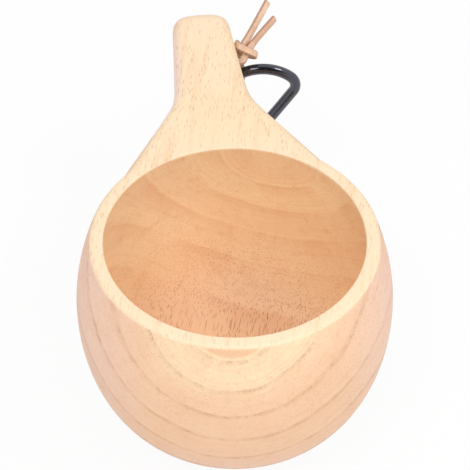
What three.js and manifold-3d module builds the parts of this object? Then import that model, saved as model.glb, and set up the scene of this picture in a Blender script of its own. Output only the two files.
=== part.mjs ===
// Wooden drinking cup with a handle, a knotted leather thong and a small carabiner.
// Millimetres, +Z up, +Y along the handle, origin at the centre of the foot.
import * as THREE from 'three';
import { mergeVertices } from 'three/addons/utils/BufferGeometryUtils.js';
import Module from 'manifold-3d';

const wasm = await Module();
wasm.setup();

// Bowl
const BOWL_R = 46;            // greatest outer radius
const BELLY_Z = 39.4;         // height of that greatest radius
const RIM_Z = 65;             // height of the rim and of the handle's top
const RIM_R = 41.2;           // outer radius at the rim
const RIM_WALL = 4;           // wall at the rim
const BELLY_WALL = 5;         // wall at the greatest radius
const FLOOR_WALL = 8;         // wood under the inside floor
const FOOT_R = 25;            // flat foot
const FLOOR_R = 14;           // flat middle of the inside floor
const RIM_ROUND = 1.4;        // rounding of both rim edges
const BOWL_SIDES = 64;
const BOWL_STEPS = 9;         // steps on each curve of the profile
const ROUND_STEPS = 3;        // steps on each rounded edge

// Handle
const TIP_Y = 101.3;          // far end of the handle, from the bowl's axis
const TIP_ROUND = 5.5;        // length of the rounded end
const TIP_SQUARE = 2.8;       // squareness of the end seen from above
const GRIP_HALF = 9;          // half width near the end
const GRIP_TAPER = 0.068;     // growth of the half width towards the bowl
const FLARE_ANGLE = 31;       // degrees between the flare's straight flank and the handle's axis
const FLARE_BLEND = 1;        // rounding between the flank and the grip
const SIDE_DROP = 5.5;        // widest line of the section, below the top
const GRIP_THICK = 15;        // thickness of the grip
const UNDER_ROUND = 11;       // hollow rounding between the underside and the bowl
const UNDER_SWEEP = 53;       // degrees of that rounding before it meets the bowl
const FLARE_INSET = 1.1;      // flank of the flare, inside the bowl's side where they meet
const TOP_SQUARE = 3;         // squareness of the section above its widest line
const UNDER_SQUARE = 2.2;     // squareness below it
const ROOT_INSIDE = 2;        // start of the handle, past the place where its flank leaves the bowl
const HANDLE_STEP = 3.5;      // spacing of the sections
const SECTION_POINTS = 16;    // points on each half of a section
const TIP_STEPS = 5;
const TIP_SWEEP = 80;         // degrees of the rounded end, which leaves a small flat

// Cross hole and thong
const HOLE_FROM_TIP = 16.8;   // hole axis to the end of the handle
const HOLE_BELOW_TOP = 10;    // middle of the hole to the top of the handle
const HOLE_LEAN = 14;         // degrees by which the hole drops towards the left
const HOLE_D = 4;
const THONG_D = 1.6;
const THONG_SIDES = 8;
const HOLE_SIDES = 16;

// Carabiner
const WIRE_D = 3.4;
const SPINE_LENGTH = 34;      // straight back of the frame
const CORNER_R = 4.75;        // top corner, on the wire's centre line
const CORNER_SWEEP = 80;      // degrees turned by that corner
const BOW_R = 13.4;           // wide bow, on the wire's centre line
const FOOT_BEND_R = 5.4;      // bottom bend, on the wire's centre line
const FOOT_BEND_SWEEP = 140;  // degrees turned by the bottom bend
const TANG_THICK = 1.4;       // flattened ends of the frame
const TANG_R = 2;             // round end of the hinge tang
const TANG_CAM = 0.9;         // tang centre off the hinge, which works the plunger
const HINGE_REACH = 3.6;      // hinge past the end of the bottom bend
const GATE_D = 4.6;
const NOSE_GAP = 1;           // gate's end to the end of the bow
const NOSE_LENGTH = 5;        // latch tang past the end of the bow
const NOSE_WIDTH = 2.8;
const RIVET_D = 1.4;
const LATCH_D = 1.2;
const LATCH_FROM_END = 1.7;   // latch pin to the gate's end
const GATE_CHAMFER = 0.3;
const PIN_CHAMFER = 0.15;
const FIT = 0.3;              // clearance between pieces that meet
const WIRE_SIDES = 12;
const WIRE_STEPS = 60;
const PIN_SIDES = 16;
const GATE_SIDES = 20;

// Gate spring and plunger
const SPRING_WIRE = 0.36;
const SPRING_COILS = 5;
const SPRING_PITCH = 0.9;
const SPRING_D = 1.5;         // coil's centre line
const PLUNGER_D = 1.9;
const PLUNGER_LENGTH = 3;
const PLUNGER_ROUND = 0.3;    // rounding of the plunger's tip
const SPRING_STEPS = 8;       // steps on each coil
const SPRING_SIDES = 5;

// Pose of the carabiner on the thong, from the hole's centre
const HANG_ANGLE = 162;       // place of the strand on the bow, in degrees from the spine's side
const HANG_TILT = 31.7;       // lean of the spine
const HANG_TURN = -5;         // turn of the frame's plane about the vertical
const HANG_POINT = new THREE.Vector3(11.3, 1.6, -8.3);

const HOLE_Y = TIP_Y - HOLE_FROM_TIP;
const HOLE_Z = RIM_Z - HOLE_BELOW_TOP;
const degrees = THREE.MathUtils.degToRad;

const WOOD = { color: 0xeccba2, roughness: 0.6, metalness: 0 };
const LEATHER = { color: 0xd9a884, roughness: 0.75, metalness: 0 };
const BLACK_COAT = { color: 0x17181c, roughness: 0.25, metalness: 0.1 };
const STEEL = { color: 0xb4b6b8, roughness: 0.35, metalness: 1 };

// A named mesh with its own material.
function piece(name, geometry, finish) {
  const mesh = new THREE.Mesh(geometry, new THREE.MeshStandardMaterial(finish));
  mesh.name = name;
  return mesh;
}

// A closed geometry as a solid that can be joined and cut.
function solid(geometry) {
  const bare = geometry.clone();
  bare.deleteAttribute('normal');
  bare.deleteAttribute('uv');
  const merged = mergeVertices(bare, 1e-4);
  return new wasm.Manifold(new wasm.Mesh({
    numProp: 3,
    vertProperties: new Float32Array(merged.attributes.position.array),
    triVerts: new Uint32Array(merged.index.array),
  }));
}

// The geometry of a joined or cut solid.
function surface(body) {
  const mesh = body.getMesh();
  const geometry = new THREE.BufferGeometry();
  geometry.setAttribute('position', new THREE.BufferAttribute(new Float32Array(mesh.vertProperties), 3));
  geometry.setIndex(new THREE.BufferAttribute(new Uint32Array(mesh.triVerts), 1));
  geometry.computeVertexNormals();
  return geometry;
}

// A solid of revolution about +Z from a profile of [radius, height] points.
function turned(profile, sides) {
  const points = profile.map(([r, z]) => new THREE.Vector2(r, z));
  return new THREE.LatheGeometry(points, sides).rotateX(Math.PI / 2);
}

// A closed skin over rings of points, with a fan on each end.
function skinned(rings) {
  const count = rings[0].length;
  const positions = rings.flat().flatMap((p) => [p.x, p.y, p.z]);
  const index = [];
  for (let i = 0; i + 1 < rings.length; i += 1) {
    for (let j = 0; j < count; j += 1) {
      const a = i * count + j;
      const b = i * count + ((j + 1) % count);
      index.push(a, b, a + count, b, b + count, a + count);
    }
  }
  const cap = (ring, flip) => {
    const middle = rings[ring].reduce((sum, p) => sum.add(p), new THREE.Vector3()).divideScalar(count);
    const hub = positions.length / 3;
    positions.push(middle.x, middle.y, middle.z);
    for (let j = 0; j < count; j += 1) {
      const a = ring * count + j;
      const b = ring * count + ((j + 1) % count);
      index.push(...(flip ? [hub, b, a] : [hub, a, b]));
    }
  };
  cap(0, true);
  cap(rings.length - 1, false);
  const geometry = new THREE.BufferGeometry();
  geometry.setAttribute('position', new THREE.Float32BufferAttribute(positions, 3));
  geometry.setIndex(index);
  return geometry;
}

// A round tube along a curve, with flat ends.
function tube(curve, count, diameter, sides) {
  const corners = Array.from({ length: sides }, (_, i) => {
    const a = 2 * Math.PI * i / sides;
    return new THREE.Vector2(Math.cos(a), Math.sin(a)).multiplyScalar(diameter / 2);
  });
  const section = new THREE.Shape(corners);
  return new THREE.ExtrudeGeometry(section, { steps: count, bevelEnabled: false, extrudePath: curve });
}

// A cylinder along Y through a point.
function rod(diameter, length, sides, x, y, z) {
  return new THREE.CylinderGeometry(diameter / 2, diameter / 2, length, sides).translate(x, y, z);
}

// A block by its size and centre.
function block(width, depth, height, x, y, z) {
  return new THREE.BoxGeometry(width, depth, height).translate(x, y, z);
}

// Points of a curve from 0 to 1, both ends included.
function steps(count, place) {
  return Array.from({ length: count + 1 }, (_, i) => place(i / count));
}

// Bowl: an elliptic lower half, then a wall that draws in to the rim.
const SHOULDER_Z = RIM_Z - RIM_ROUND;

// Radius of a wall above the belly, from its widest radius to its radius at the rim.
function wallRadius(z, widest, mouth) {
  return widest + (mouth - widest) * ((z - BELLY_Z) / (RIM_Z - BELLY_Z)) ** 2;
}

// Profile of a wall from its flat bottom to the start of the rounded rim.
function wallProfile(flat, bottom, widest, mouth) {
  const lower = steps(BOWL_STEPS, (t) => {
    const a = t * Math.PI / 2;
    return [flat + (widest - flat) * Math.sin(a), BELLY_Z - (BELLY_Z - bottom) * Math.cos(a)];
  });
  const upper = steps(BOWL_STEPS, (t) => {
    const z = BELLY_Z + (SHOULDER_Z - BELLY_Z) * t;
    return [wallRadius(z, widest, mouth), z];
  });
  return [[0, bottom], ...lower, ...upper.slice(1)];
}

// Quarter round at the rim, which turns inwards on the outside wall and outwards on the inside wall.
function rimRound(radius, turn) {
  const centre = radius + turn * RIM_ROUND;
  return steps(ROUND_STEPS, (t) => {
    const a = t * Math.PI / 2;
    return [centre - turn * RIM_ROUND * Math.cos(a), SHOULDER_Z + RIM_ROUND * Math.sin(a)];
  }).slice(1);
}

function bowlSolid() {
  const wall = wallProfile(FOOT_R, 0, BOWL_R, RIM_R);
  const round = rimRound(wallRadius(SHOULDER_Z, BOWL_R, RIM_R), -1);
  return solid(turned([...wall, ...round, [0, RIM_Z]], BOWL_SIDES));
}

// Inside of the bowl, as the shape that is cut away.
function hollowSolid() {
  const widest = BOWL_R - BELLY_WALL;
  const mouth = RIM_R - RIM_WALL;
  const wall = wallProfile(FLOOR_R, FLOOR_WALL, widest, mouth);
  const edge = wallRadius(SHOULDER_Z, widest, mouth);
  const above = RIM_Z + RIM_ROUND;
  const opening = [[edge + RIM_ROUND, above], [0, above]];
  return solid(turned([...wall, ...rimRound(edge, 1), ...opening], BOWL_SIDES));
}

// Distance from the bowl's axis to the straight flank of the handle's flare.
const FLANK_REACH = wallRadius(RIM_Z - SIDE_DROP, BOWL_R, RIM_R) - FLARE_INSET;
const ROOT_Y = FLANK_REACH * Math.sin(degrees(FLARE_ANGLE)) + ROOT_INSIDE;

// Half width of the handle seen from above: a tapered grip that flares out to the bowl's side.
function handleHalf(y) {
  const grip = GRIP_HALF + GRIP_TAPER * (TIP_Y - TIP_ROUND - y);
  const angle = degrees(FLARE_ANGLE);
  const flank = (FLANK_REACH - y * Math.sin(angle)) / Math.cos(angle);
  return (grip + flank) / 2 + Math.hypot((grip - flank) / 2, FLARE_BLEND);
}

// Height of the handle's underside at a distance from the bowl's axis, rounding down into the bowl.
function underside(distance) {
  const flat = RIM_Z - GRIP_THICK;
  const length = UNDER_ROUND * Math.sin(degrees(UNDER_SWEEP));
  const run = Math.min(Math.max(BOWL_R + length - distance, 0), length);
  return flat - UNDER_ROUND + Math.sqrt(UNDER_ROUND ** 2 - run ** 2);
}

// One section of the handle: flatter above its widest line, rounder below.
// riseAt and fallAt give the reach above and below that line at a distance from the bowl's axis.
function handleSection(y, half, riseAt, fallAt) {
  const side = RIM_Z - SIDE_DROP;
  const arc = (from, height, square) => steps(SECTION_POINTS, (t) => {
    const a = from + t * Math.PI;
    const c = Math.cos(a);
    const s = Math.sin(a);
    const x = half * Math.sign(c) * Math.abs(c) ** (2 / square);
    const reach = height(Math.hypot(x, y)) * Math.sign(s) * Math.abs(s) ** (2 / square);
    return new THREE.Vector3(x, y, side + reach);
  }).slice(0, -1);
  return [...arc(0, riseAt, TOP_SQUARE), ...arc(Math.PI, fallAt, UNDER_SQUARE)].reverse();
}

function handleSolid() {
  const side = RIM_Z - SIDE_DROP;
  const capStart = TIP_Y - TIP_ROUND;
  const count = Math.round((capStart - ROOT_Y) / HANDLE_STEP);
  const fall = (distance) => side - underside(distance);
  const grip = steps(count, (t) => {
    const y = ROOT_Y + (capStart - ROOT_Y) * t;
    return handleSection(y, handleHalf(y), () => SIDE_DROP, fall);
  });
  const tip = steps(TIP_STEPS, (t) => {
    const a = t * degrees(TIP_SWEEP);
    const y = capStart + TIP_ROUND * Math.sin(a) / Math.sin(degrees(TIP_SWEEP));
    const shrink = (square) => Math.cos(a) ** (2 / square);
    const half = handleHalf(capStart) * shrink(TIP_SQUARE);
    const riseAt = () => SIDE_DROP * shrink(TOP_SQUARE);
    const fallAt = (distance) => fall(distance) * shrink(UNDER_SQUARE);
    return handleSection(y, half, riseAt, fallAt);
  }).slice(1);
  return solid(skinned([...grip, ...tip]));
}

function cupBody() {
  const width = 4 * GRIP_HALF;
  const hole = rod(HOLE_D, width, HOLE_SIDES, 0, 0, 0)
    .rotateZ(Math.PI / 2).rotateY(-degrees(HOLE_LEAN)).translate(0, HOLE_Y, HOLE_Z);
  const body = bowlSolid().add(handleSolid()).subtract(hollowSolid()).subtract(solid(hole));
  return piece('cup_body', surface(body), WOOD);
}

// Thong: one route through the hole, under the handle, under the carabiner's bow and round the knot.
// Its points are placed from the hole's centre.
const KNOT = new THREE.Vector3(13.1, 5.1, 2.2);
const KNOT_ALONG = new THREE.Vector3(0.544, 0.814, 0.204).normalize();
const KNOT_ACROSS = new THREE.Vector3(0.839, -0.531, -0.118).normalize();
const KNOT_UP = new THREE.Vector3().crossVectors(KNOT_ACROSS, KNOT_ALONG).normalize();

// A point beside the knot, by its distances across, up and along the tails.
function knotPoint(across, up, along) {
  return KNOT.clone()
    .addScaledVector(KNOT_ACROSS, across)
    .addScaledVector(KNOT_UP, up)
    .addScaledVector(KNOT_ALONG, along);
}

const at = (x, y, z) => new THREE.Vector3(x, y, z);
const THONG_ROUTE = [
  // short tail, through the knot's band and down to the hole's right mouth
  knotPoint(3, 0.2, 14.7), knotPoint(2.2, 0.3, 9.5), knotPoint(1.35, 0.15, 4),
  knotPoint(1.1, 0, 0), knotPoint(1.35, 0.2, -3), knotPoint(1.4, 0.5, -4.9),
  // through the hole
  at(10.6, 0, 1.7), at(5, 0, 0.55), at(0, 0, -0.7), at(-5.3, 0, -2), at(-6.9, -0.1, -2.8),
  // down the left side, under the handle and under the carabiner's bow
  at(-7.5, -0.3, -3.8), at(-7.1, -0.6, -4.9), at(-5.6, -1, -5.7), at(-2.5, -1.6, -6.3),
  at(3, -2.1, -7), at(7.5, -1.9, -7.8), at(10.3, -0.8, -8.3), HANG_POINT,
  at(11.9, 4.1, -7.7), at(11.7, 5.2, -5.6), at(11.6, 4.9, -3.3),
  // the knot: over the left end, across the front, round the right end and in from behind
  knotPoint(-2.2, -4.3, -0.5), knotPoint(-3.2, -2.5, 0.5), knotPoint(-3.4, -0.3, 0.8),
  knotPoint(-2.4, 1.5, -0.6), knotPoint(-1.1, 2.4, -1.6), knotPoint(0.9, 2.5, -1.8),
  knotPoint(2.9, 1.7, -1.3), knotPoint(3.9, 0.1, -0.4), knotPoint(3.4, -1.5, 0.2),
  knotPoint(2.1, -2.5, 0.5), knotPoint(0.3, -2.6, 0.2), knotPoint(-1, -1.7, -0.4),
  // long tail
  knotPoint(-1.35, -0.5, 0.1), knotPoint(-1.2, 0.05, 1.5), knotPoint(-1.15, 0.1, 4),
  knotPoint(-1.4, 0.15, 11), knotPoint(-1.9, -0.1, 19.6),
];
const BEND_INDEX = 4;         // route points where one stretch ends and the next begins
const RISE_INDEX = 22;
const TUCK_INDEX = 34;
const THONG_CURVE = new THREE.CatmullRomCurve3(THONG_ROUTE, false, 'centripetal');
THONG_CURVE.arcLengthDivisions = 2000;

// Part of a longer curve, between two distances along it.
class Stretch extends THREE.Curve {
  constructor(curve, from, to) {
    super();
    this.curve = curve;
    this.from = from / curve.getLength();
    this.to = to / curve.getLength();
  }

  getPoint(t, target = new THREE.Vector3()) {
    return this.curve.getPointAt(this.from + (this.to - this.from) * t, target);
  }
}

// Distance along the thong to the route point of that number.
function thongDistance(number) {
  const lengths = THONG_CURVE.getLengths();
  return lengths[Math.round(number / (THONG_ROUTE.length - 1) * (lengths.length - 1))];
}

// Least distance between the surfaces of two stretches of the thong that are not neighbours.
function thongSelfGap() {
  const spacing = 0.3;
  const neighbours = 4;
  const points = THONG_CURVE.getSpacedPoints(Math.round(THONG_CURVE.getLength() / spacing));
  const skip = Math.round(neighbours / spacing);
  let least = Infinity;
  for (let i = 0; i < points.length; i += 1) {
    for (let j = i + skip; j < points.length; j += 1) {
      least = Math.min(least, points[i].distanceTo(points[j]));
    }
  }
  return least - THONG_D;
}

function thong() {
  const group = new THREE.Group();
  const bend = thongDistance(BEND_INDEX);
  const rise = thongDistance(RISE_INDEX);
  const tuck = thongDistance(TUCK_INDEX);
  const end = THONG_CURVE.getLength();
  const stretches = [
    ['thong_tail_short', 0, bend - FIT, 7],
    ['thong_loop', bend, rise - FIT, 34],
    ['thong_knot', rise, tuck - FIT, 30],
    ['thong_tail_long', tuck, end, 9],
  ];
  for (const [name, from, to, count] of stretches) {
    group.add(piece(name, tube(new Stretch(THONG_CURVE, from, to), count, THONG_D, THONG_SIDES), LEATHER));
  }
  return group;
}

// Carabiner in its own plane: the spine lies on X = 0 and ends at the origin, and the gate is at -X.
const BOW_CENTRE = new THREE.Vector2(-CORNER_R, 0).add(
  new THREE.Vector2(Math.cos(degrees(CORNER_SWEEP)), Math.sin(degrees(CORNER_SWEEP)))
    .multiplyScalar(CORNER_R - BOW_R),
);
const BOW_END = new THREE.Vector2(BOW_CENTRE.x - BOW_R, BOW_CENTRE.y);
const BEND_CENTRE = new THREE.Vector2(-FOOT_BEND_R, -SPINE_LENGTH);
const BEND_END = new THREE.Vector2(
  Math.cos(degrees(FOOT_BEND_SWEEP)),
  -Math.sin(degrees(FOOT_BEND_SWEEP)),
).multiplyScalar(FOOT_BEND_R).add(BEND_CENTRE);
const BEND_HEADING = new THREE.Vector2(
  -Math.sin(degrees(FOOT_BEND_SWEEP)),
  -Math.cos(degrees(FOOT_BEND_SWEEP)),
);
const HINGE = BEND_END.clone().addScaledVector(BEND_HEADING, HINGE_REACH);
const GATE_AXIS = BOW_END.clone().sub(HINGE).normalize();
const GATE_LEAN = Math.atan2(GATE_AXIS.x, GATE_AXIS.y);
const GATE_LENGTH = BOW_END.distanceTo(HINGE) - NOSE_GAP;
const LATCH_UP = GATE_LENGTH - LATCH_FROM_END;
const LATCH = HINGE.clone().addScaledVector(GATE_AXIS, LATCH_UP);

// A flat path drawn in the carabiner's plane.
class PlaneCurve extends THREE.Curve {
  constructor(path) {
    super();
    this.path = path;
  }

  getPoint(t, target = new THREE.Vector3()) {
    const p = this.path.getPointAt(t);
    return target.set(p.x, 0, p.y);
  }
}

function carabinerFrame() {
  const path = new THREE.Path();
  path.moveTo(BEND_END.x, BEND_END.y);
  path.absarc(BEND_CENTRE.x, BEND_CENTRE.y, FOOT_BEND_R, degrees(-FOOT_BEND_SWEEP), 0, false);
  path.lineTo(0, 0);
  path.absarc(-CORNER_R, 0, CORNER_R, 0, degrees(CORNER_SWEEP), false);
  path.absarc(BOW_CENTRE.x, BOW_CENTRE.y, BOW_R, degrees(CORNER_SWEEP), Math.PI, false);
  const wire = solid(tube(new PlaneCurve(path), WIRE_STEPS, WIRE_D, WIRE_SIDES));
  // hinge tang: a flat tongue from the bend's end to the hinge, rounded about a centre beside the hinge
  const cam = HINGE.clone().add(new THREE.Vector2(GATE_AXIS.y, -GATE_AXIS.x).multiplyScalar(TANG_CAM));
  const reach = BEND_END.distanceTo(cam) + WIRE_D / 2;
  const toCam = cam.clone().sub(BEND_END).normalize();
  const tongue = block(2 * TANG_R, TANG_THICK, reach, 0, 0, reach / 2 - WIRE_D / 2)
    .rotateY(Math.atan2(toCam.x, toCam.y)).translate(BEND_END.x, 0, BEND_END.y);
  const round = rod(2 * TANG_R, TANG_THICK, PIN_SIDES, cam.x, 0, cam.y);
  const bore = rod(RIVET_D + 2 * FIT, WIRE_D, PIN_SIDES, HINGE.x, 0, HINGE.y);
  // latch tang: a flat nose with a notch, open to the inside, that hooks over the latch pin
  const nose = block(NOSE_WIDTH, TANG_THICK, NOSE_LENGTH + WIRE_D, 0, 0, (WIRE_D - NOSE_LENGTH) / 2)
    .rotateY(GATE_LEAN).translate(BOW_END.x, 0, BOW_END.y);
  const notchHeight = LATCH_D + 2 * FIT;
  const notch = block(NOSE_WIDTH, WIRE_D, notchHeight, NOSE_WIDTH / 2 - LATCH_D / 2 - FIT, 0, 0)
    .rotateY(GATE_LEAN).translate(LATCH.x, 0, LATCH.y);
  const body = wire.add(solid(tongue)).add(solid(round)).add(solid(nose)).subtract(solid(bore))
    .subtract(solid(notch));
  return piece('carabiner_frame', surface(body), BLACK_COAT);
}

// The gate's own frame: the hinge is at its origin and the gate points up +Z.
const SLOT = TANG_THICK + 2 * FIT;
const HINGE_SLOT = TANG_R + TANG_CAM + FIT;
const LATCH_SLOT = NOSE_LENGTH - NOSE_GAP + 2 * FIT;
const BORE_D = PLUNGER_D + 2 * FIT;
const SPRING_LENGTH = SPRING_COILS * SPRING_PITCH;
const PLUNGER_FOOT = TANG_R + FIT;
const SPRING_FOOT = PLUNGER_FOOT + PLUNGER_LENGTH + FIT + SPRING_WIRE;
const BORE_END = SPRING_FOOT + SPRING_LENGTH + SPRING_WIRE + FIT;

function carabinerGate() {
  const half = GATE_D / 2;
  const roundEnd = steps(ROUND_STEPS, (t) => {
    const a = t * Math.PI / 2;
    return [half * Math.sin(a), -half * Math.cos(a)];
  });
  const farEnd = [[half, GATE_LENGTH - GATE_CHAMFER], [half - GATE_CHAMFER, GATE_LENGTH], [0, GATE_LENGTH]];
  const hingeSlot = block(2 * GATE_D, SLOT, HINGE_SLOT + GATE_D, 0, 0, (HINGE_SLOT - GATE_D) / 2);
  const latchSlot = block(2 * GATE_D, SLOT, 2 * LATCH_SLOT, 0, 0, GATE_LENGTH);
  const bore = turned([[0, 0], [BORE_D / 2, 0], [BORE_D / 2, BORE_END], [0, BORE_END]], PIN_SIDES);
  const rivetHole = rod(RIVET_D + 2 * FIT, 2 * GATE_D, PIN_SIDES, 0, 0, 0);
  const latchHole = rod(LATCH_D + 2 * FIT, 2 * GATE_D, PIN_SIDES, 0, 0, LATCH_UP);
  const body = [hingeSlot, latchSlot, bore, rivetHole, latchHole]
    .reduce((rest, cut) => rest.subtract(solid(cut)), solid(turned([...roundEnd, ...farEnd], GATE_SIDES)));
  return piece('carabiner_gate', surface(body), BLACK_COAT);
}

// A flush rivet across the gate, chamfered at both ends.
function rivet(name, diameter, height) {
  const half = GATE_D / 2;
  const r = diameter / 2;
  const end = [[r, half - PIN_CHAMFER], [r - PIN_CHAMFER, half], [0, half]];
  const profile = [...end.map(([x, z]) => [x, -z]).reverse(), ...end];
  return piece(name, turned(profile, PIN_SIDES).rotateX(Math.PI / 2).translate(0, 0, height), STEEL);
}

// A helix rising along +Z.
class Helix extends THREE.Curve {
  getPoint(t, target = new THREE.Vector3()) {
    const a = 2 * Math.PI * SPRING_COILS * t;
    return target.set(SPRING_D / 2 * Math.cos(a), SPRING_D / 2 * Math.sin(a), SPRING_LENGTH * t);
  }
}

function gateParts() {
  const group = new THREE.Group();
  const coil = tube(new Helix(), SPRING_COILS * SPRING_STEPS, SPRING_WIRE, SPRING_SIDES)
    .translate(0, 0, SPRING_FOOT);
  const r = PLUNGER_D / 2;
  const tip = steps(ROUND_STEPS, (t) => {
    const a = t * Math.PI / 2;
    return [r * Math.sin(a), PLUNGER_ROUND * (1 - Math.cos(a))];
  });
  const plunger = turned([...tip, [r, PLUNGER_LENGTH], [0, PLUNGER_LENGTH]], PIN_SIDES)
    .translate(0, 0, PLUNGER_FOOT);
  group.add(
    carabinerGate(),
    rivet('gate_hinge_rivet', RIVET_D, 0),
    rivet('gate_latch_pin', LATCH_D, LATCH_UP),
    piece('gate_plunger', plunger, STEEL),
    piece('gate_spring', coil, STEEL),
  );
  group.position.set(HINGE.x, 0, HINGE.y);
  group.rotation.y = GATE_LEAN;
  return group;
}

// The carabiner hangs on the strand of thong that runs through its bow.
function carabiner() {
  const reach = BOW_R - WIRE_D / 2 - FIT - THONG_D / 2;
  const angle = degrees(HANG_ANGLE);
  const hangX = BOW_CENTRE.x + reach * Math.cos(angle);
  const hangZ = BOW_CENTRE.y + reach * Math.sin(angle);
  const flat = new THREE.Group();
  flat.add(carabinerFrame(), gateParts());
  flat.position.set(-hangX, 0, -hangZ);
  const hung = new THREE.Group();
  hung.add(flat);
  hung.position.copy(HANG_POINT);
  hung.rotation.set(0, degrees(HANG_TILT), degrees(HANG_TURN), 'ZYX');
  return hung;
}

const springGap = SPRING_PITCH - SPRING_WIRE;
console.log(`least gap of the thong to itself ${thongSelfGap().toFixed(2)} mm`);
console.log(`least gap between the spring's coils ${springGap.toFixed(2)} mm`);
console.log(`thong length ${THONG_CURVE.getLength().toFixed(1)} mm`);

const hanging = new THREE.Group();
hanging.add(thong(), carabiner());
hanging.position.set(0, HOLE_Y, HOLE_Z);

const cup = new THREE.Group();
cup.add(cupBody(), hanging);

export default cup;
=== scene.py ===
# %% [markdown]
# # A wooden cup on a leather thong
# The cup is carved from one block of pale wood: a round bowl, and a flat handle that runs out level
# with the rim. A narrow leather thong goes through a hole in the handle, and a small black
# carabiner hangs on it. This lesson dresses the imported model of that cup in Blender, piece by piece.
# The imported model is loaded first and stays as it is, because every new piece is built around it.

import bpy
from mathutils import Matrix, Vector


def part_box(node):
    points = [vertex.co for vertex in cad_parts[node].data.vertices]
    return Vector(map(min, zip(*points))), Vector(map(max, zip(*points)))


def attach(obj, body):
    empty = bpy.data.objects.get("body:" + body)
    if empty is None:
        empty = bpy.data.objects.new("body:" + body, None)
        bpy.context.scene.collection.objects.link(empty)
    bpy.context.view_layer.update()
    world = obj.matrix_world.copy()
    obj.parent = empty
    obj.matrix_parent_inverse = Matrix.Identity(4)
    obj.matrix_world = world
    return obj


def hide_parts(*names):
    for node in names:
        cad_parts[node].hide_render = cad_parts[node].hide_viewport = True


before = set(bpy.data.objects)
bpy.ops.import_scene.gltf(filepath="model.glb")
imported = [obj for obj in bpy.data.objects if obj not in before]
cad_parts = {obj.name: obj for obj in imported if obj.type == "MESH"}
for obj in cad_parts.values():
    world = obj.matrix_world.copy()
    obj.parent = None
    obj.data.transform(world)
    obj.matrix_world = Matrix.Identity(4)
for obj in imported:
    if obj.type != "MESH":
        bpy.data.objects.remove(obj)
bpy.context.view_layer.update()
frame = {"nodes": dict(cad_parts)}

import math

import bmesh
import bpy
from mathutils import Matrix, Vector

MM = 0.001
print("nodes:", ", ".join(frame["nodes"]))

# %% [markdown]
# ## Camera
# The photograph looks down into the bowl from the front, a little from the left, through a long
# lens. A camera can be turned by hand until it looks right, but here its direction is known, so it
# is placed along that direction and turned with to_track_quat, which points its -Z axis at a target.

# %% Camera
VIEW_TURN = math.radians(-6.3)
VIEW_HEIGHT = math.radians(45.65)
VIEW_DISTANCE = 0.650
VIEW_TARGET = Vector((0.00008, 0.0, 0.06642))
LENS, SENSOR = 175.9, 36.0

camera_data = bpy.data.cameras.new("photo_camera")
camera_data.sensor_width = SENSOR
camera_data.lens = LENS
camera = bpy.data.objects.new("photo_camera", camera_data)
bpy.context.scene.collection.objects.link(camera)
look_back = Vector((
    math.sin(VIEW_TURN) * math.cos(VIEW_HEIGHT),
    -math.cos(VIEW_TURN) * math.cos(VIEW_HEIGHT),
    math.sin(VIEW_HEIGHT),
))
camera.location = VIEW_TARGET + VIEW_DISTANCE * look_back
camera.rotation_mode = "QUATERNION"
camera.rotation_quaternion = (-look_back).to_track_quat("-Z", "Y")
bpy.context.scene.camera = camera
print("camera at", [round(c, 3) for c in camera.location])

# %% [markdown]
# ## Thong: its route
# The thong is one strip of leather. It runs down through the leaning hole to the left, back under the
# handle, carries the carabiner, and ends in one knot with two tails on the right. A cord is best
# made on one smooth curve, so its points come first. They are counted from the hole's centre, and
# those of the knot from the knot's own middle, along the tails, across them and up from them.

# %% Route of the thong
HOLE = Vector((0, 84.5, 55)) * MM
KNOT = HOLE + Vector((13.1, 5.1, 2.2)) * MM
KNOT_ALONG = Vector((0.544, 0.814, 0.204)).normalized()
KNOT_ACROSS = Vector((0.839, -0.531, -0.118)).normalized()
KNOT_UP = KNOT_ACROSS.cross(KNOT_ALONG).normalized()
HANG_POINT = HOLE + Vector((11.3, 1.6, -8.3)) * MM


def by_knot(across, up, along):
    return KNOT + (KNOT_ACROSS * across + KNOT_UP * up + KNOT_ALONG * along) * MM


def by_hole(x, y, z):
    return HOLE + Vector((x, y, z)) * MM


RIGHT_MOUTH = by_hole(10.6, 0, 1.7)
THONG_ROUTE = [
    by_knot(3, 0.2, 14.7), by_knot(2.2, 0.3, 9.5), by_knot(1.35, 0.15, 4),
    by_knot(1.1, 0, 0), by_knot(1.35, 0.2, -3), by_knot(1.4, 0.5, -4.9),
    RIGHT_MOUTH, by_hole(5, 0, 0.55), by_hole(0, 0, -0.7),
    by_hole(-5.3, 0, -2), by_hole(-6.9, -0.1, -2.8),
    by_hole(-7.5, -0.3, -3.8), by_hole(-7.1, -0.6, -4.9), by_hole(-5.6, -1, -5.7),
    by_hole(-2.5, -1.6, -6.3), by_hole(3, -2.1, -7), by_hole(7.5, -1.9, -7.8),
    by_hole(10.3, -0.8, -8.3), HANG_POINT,
    by_hole(11.9, 4.1, -7.7), by_hole(11.7, 5.2, -5.6), by_hole(11.6, 4.9, -3.3),
    by_knot(-2.2, -4.3, -0.5), by_knot(-3.2, -2.5, 0.5), by_knot(-3.4, -0.3, 0.8),
    by_knot(-2.4, 1.5, -0.6), by_knot(-1.1, 2.4, -1.6), by_knot(0.9, 2.5, -1.8),
    by_knot(2.9, 1.7, -1.3), by_knot(3.9, 0.1, -0.4), by_knot(3.4, -1.5, 0.2),
    by_knot(2.1, -2.5, 0.5), by_knot(0.3, -2.6, 0.2), by_knot(-1, -1.7, -0.4),
    by_knot(-1.35, -0.5, 0.1), by_knot(-1.2, 0.05, 1.5), by_knot(-1.15, 0.1, 4),
    by_knot(-1.4, 0.15, 11), by_knot(-1.9, -0.1, 19.6),
]
print("the route has", len(THONG_ROUTE), "points")

# %% [markdown]
# ## Thong: a smooth line through the points
# A centripetal Catmull-Rom curve passes through every point and never loops between two that lie
# close together, which a knot needs. It is then cut into short even steps, so that each ring of
# the strip's mesh is as long as the next one.

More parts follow.
